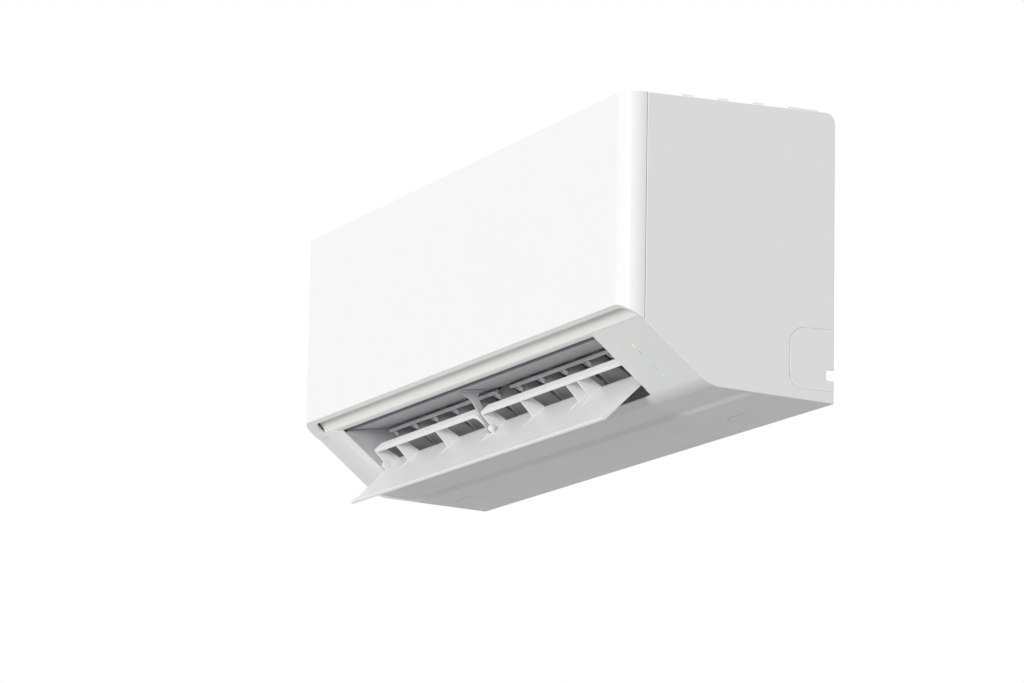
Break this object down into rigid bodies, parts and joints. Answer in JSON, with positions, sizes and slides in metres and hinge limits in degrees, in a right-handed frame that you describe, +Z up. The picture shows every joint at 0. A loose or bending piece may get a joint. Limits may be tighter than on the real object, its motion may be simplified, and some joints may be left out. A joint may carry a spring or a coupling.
{
  "type": "mini split indoor unit",
  "caption": "Wall-hung indoor unit of a split air conditioner: lift-up front panel, top inlet grille, cross-flow fan, coil, swinging flap and linked louvre vanes over a slanted outlet.",
  "frame": {"origin": "centre of the wall plate's back face, on the wall's surface", "axes": "+X to the right as seen from the room, +Y into the wall (the room is at -Y), +Z up"},
  "size_m": [0.87, 0.229, 0.3088],
  "materials": {
    "front_white": "gloss white",
    "case_white": "fine satin white",
    "under_white": "fine satin white",
    "cream": "satin cream",
    "duct_grey": "matt grey",
    "flap_white": "satin white",
    "vane_grey": "matt light grey",
    "fan_grey": "matt dark grey",
    "dark_plastic": "matt black",
    "board": "green lacquer",
    "lens": "clear",
    "filter_mesh": "woven mesh in a frame",
    "galvanised": "galvanised sheet",
    "fins": "coated fins",
    "copper": "drawn copper",
    "brass": "machined brass",
    "motor_steel": "zinc-plated steel"
  },
  "bodies": {
    "casing": {"outlet_end_trim": "front_white", "side_panel_right": "case_white", "side_panel_left": "case_white", "top_grille": "case_white", "inner_front_frame": "case_white", "control_box": "case_white", "control_box_cover": "case_white", "rear_chassis": "under_white", "outlet_frame": "under_white", "cove_strip": "cream", "drain_pan": "duct_grey", "flap_support_arm": "duct_grey", "fan_bearing": "dark_plastic", "pipe_clamp": "dark_plastic", "terminal_block": "dark_plastic", "display_board": "board", "circuit_board": "board", "indicator_lenses": "lens", "wall_plate": "galvanised", "motor_bracket": "galvanised", "cover_screw_1": "galvanised", "cover_screw_2": "galvanised", "cover_screw_3": "galvanised", "cover_screw_4": "galvanised", "coil_front_lower": "fins", "coil_front_upper": "fins", "coil_rear": "fins", "tube_sheet_left": "copper", "tube_sheet_right": "copper", "liquid_pipe": "copper", "gas_pipe": "copper", "liquid_flare_nut": "brass", "gas_flare_nut": "brass", "fan_motor": "motor_steel", "flap_motor": "motor_steel", "vane_motor_left": "motor_steel", "vane_motor_right": "motor_steel"},
    "front_panel": {"front_panel": "front_white"},
    "flap": {"flap": "flap_white"},
    "link_bar_left": {"link_bar_left": "vane_grey"},
    "link_bar_right": {"link_bar_right": "vane_grey"},
    "fan_rotor": {"cross_flow_fan": "fan_grey", "fan_bush": "dark_plastic", "motor_shaft": "motor_steel"},
    "filter_left": {"filter_left": "filter_mesh"},
    "filter_right": {"filter_right": "filter_mesh"},
    "auto_button": {"auto_button": "front_white"},
    "vane_1": {"vane_1": "vane_grey"},
    "vane_2": {"vane_2": "vane_grey"},
    "vane_3": {"vane_3": "vane_grey"},
    "vane_4": {"vane_4": "vane_grey"},
    "vane_5": {"vane_5": "vane_grey"},
    "vane_6": {"vane_6": "vane_grey"},
    "vane_7": {"vane_7": "vane_grey"},
    "vane_8": {"vane_8": "vane_grey"},
    "vane_9": {"vane_9": "vane_grey"},
    "vane_10": {"vane_10": "vane_grey"},
    "vane_11": {"vane_11": "vane_grey"},
    "vane_12": {"vane_12": "vane_grey"}
  },
  "joints": [
    {"name": "front_panel_lift", "type": "hinge", "parent": "casing", "child": "front_panel", "pos_m": [0, -0.2195, 0.1345], "axis": [-1, 0, 0], "range_deg": [0, 65]},
    {"name": "flap_turn", "type": "hinge", "parent": "casing", "child": "flap", "pos_m": [0, -0.15364, -0.12107], "axis": [-1, 0, 0], "range_deg": [-8, 84]},
    {"name": "fan_spin", "type": "hinge", "parent": "casing", "child": "fan_rotor", "pos_m": [0, -0.112, -0.022], "axis": [1, 0, 0], "continuous": true},
    {"name": "filter_left_lift", "type": "slide", "parent": "casing", "child": "filter_left", "axis": [0, 0, 1], "range_m": [0, 0.21]},
    {"name": "filter_right_lift", "type": "slide", "parent": "casing", "child": "filter_right", "axis": [0, 0, 1], "range_m": [0, 0.21]},
    {"name": "auto_button_push", "type": "slide", "parent": "casing", "child": "auto_button", "axis": [0, 1, 0], "range_m": [0, 0.002], "stiffness_N_per_m": 500},
    {"name": "vane_1_turn", "type": "hinge", "parent": "casing", "child": "vane_1", "pos_m": [-0.3445, -0.12876, -0.08468], "axis": [0, -0.7708, 0.6371], "range_deg": [-35, 35]},
    {"name": "vane_2_turn", "type": "hinge", "parent": "casing", "child": "vane_2", "pos_m": [-0.2865, -0.12876, -0.08468], "axis": [0, -0.7708, 0.6371], "range_deg": [-35, 35]},
    {"name": "vane_3_turn", "type": "hinge", "parent": "casing", "child": "vane_3", "pos_m": [-0.2285, -0.12876, -0.08468], "axis": [0, -0.7708, 0.6371], "range_deg": [-35, 35]},
    {"name": "vane_4_turn", "type": "hinge", "parent": "casing", "child": "vane_4", "pos_m": [-0.1705, -0.12876, -0.08468], "axis": [0, -0.7708, 0.6371], "range_deg": [-35, 35]},
    {"name": "vane_5_turn", "type": "hinge", "parent": "casing", "child": "vane_5", "pos_m": [-0.1125, -0.12876, -0.08468], "axis": [0, -0.7708, 0.6371], "range_deg": [-35, 35]},
    {"name": "vane_6_turn", "type": "hinge", "parent": "casing", "child": "vane_6", "pos_m": [-0.0545, -0.12876, -0.08468], "axis": [0, -0.7708, 0.6371], "range_deg": [-35, 35]},
    {"name": "vane_7_turn", "type": "hinge", "parent": "casing", "child": "vane_7", "pos_m": [0.0035, -0.12876, -0.08468], "axis": [0, -0.7708, 0.6371], "range_deg": [-35, 35]},
    {"name": "vane_8_turn", "type": "hinge", "parent": "casing", "child": "vane_8", "pos_m": [0.0615, -0.12876, -0.08468], "axis": [0, -0.7708, 0.6371], "range_deg": [-35, 35]},
    {"name": "vane_9_turn", "type": "hinge", "parent": "casing", "child": "vane_9", "pos_m": [0.1195, -0.12876, -0.08468], "axis": [0, -0.7708, 0.6371], "range_deg": [-35, 35]},
    {"name": "vane_10_turn", "type": "hinge", "parent": "casing", "child": "vane_10", "pos_m": [0.1775, -0.12876, -0.08468], "axis": [0, -0.7708, 0.6371], "range_deg": [-35, 35]},
    {"name": "vane_11_turn", "type": "hinge", "parent": "casing", "child": "vane_11", "pos_m": [0.2355, -0.12876, -0.08468], "axis": [0, -0.7708, 0.6371], "range_deg": [-35, 35]},
    {"name": "vane_12_turn", "type": "hinge", "parent": "casing", "child": "vane_12", "pos_m": [0.2935, -0.12876, -0.08468], "axis": [0, -0.7708, 0.6371], "range_deg": [-35, 35]},
    {"name": "link_left_pivot", "type": "hinge", "parent": "vane_1", "child": "link_bar_left", "pos_m": [-0.3445, -0.1617, -0.07431], "axis": [0, -0.7708, 0.6371], "range_deg": [-35, 35]},
    {"name": "link_right_pivot", "type": "hinge", "parent": "vane_12", "child": "link_bar_right", "pos_m": [0.2935, -0.1617, -0.07431], "axis": [0, -0.7708, 0.6371], "range_deg": [-35, 35]}
  ],
  "couplings": [
    {"joint": "vane_2_turn", "follows": "vane_1_turn", "ratio": 1},
    {"joint": "vane_3_turn", "follows": "vane_1_turn", "ratio": 1},
    {"joint": "vane_4_turn", "follows": "vane_1_turn", "ratio": 1},
    {"joint": "vane_5_turn", "follows": "vane_1_turn", "ratio": 1},
    {"joint": "vane_6_turn", "follows": "vane_1_turn", "ratio": 1},
    {"joint": "link_left_pivot", "follows": "vane_1_turn", "ratio": -1},
    {"joint": "vane_7_turn", "follows": "vane_12_turn", "ratio": 1},
    {"joint": "vane_8_turn", "follows": "vane_12_turn", "ratio": 1},
    {"joint": "vane_9_turn", "follows": "vane_12_turn", "ratio": 1},
    {"joint": "vane_10_turn", "follows": "vane_12_turn", "ratio": 1},
    {"joint": "vane_11_turn", "follows": "vane_12_turn", "ratio": 1},
    {"joint": "link_right_pivot", "follows": "vane_12_turn", "ratio": -1}
  ]
}
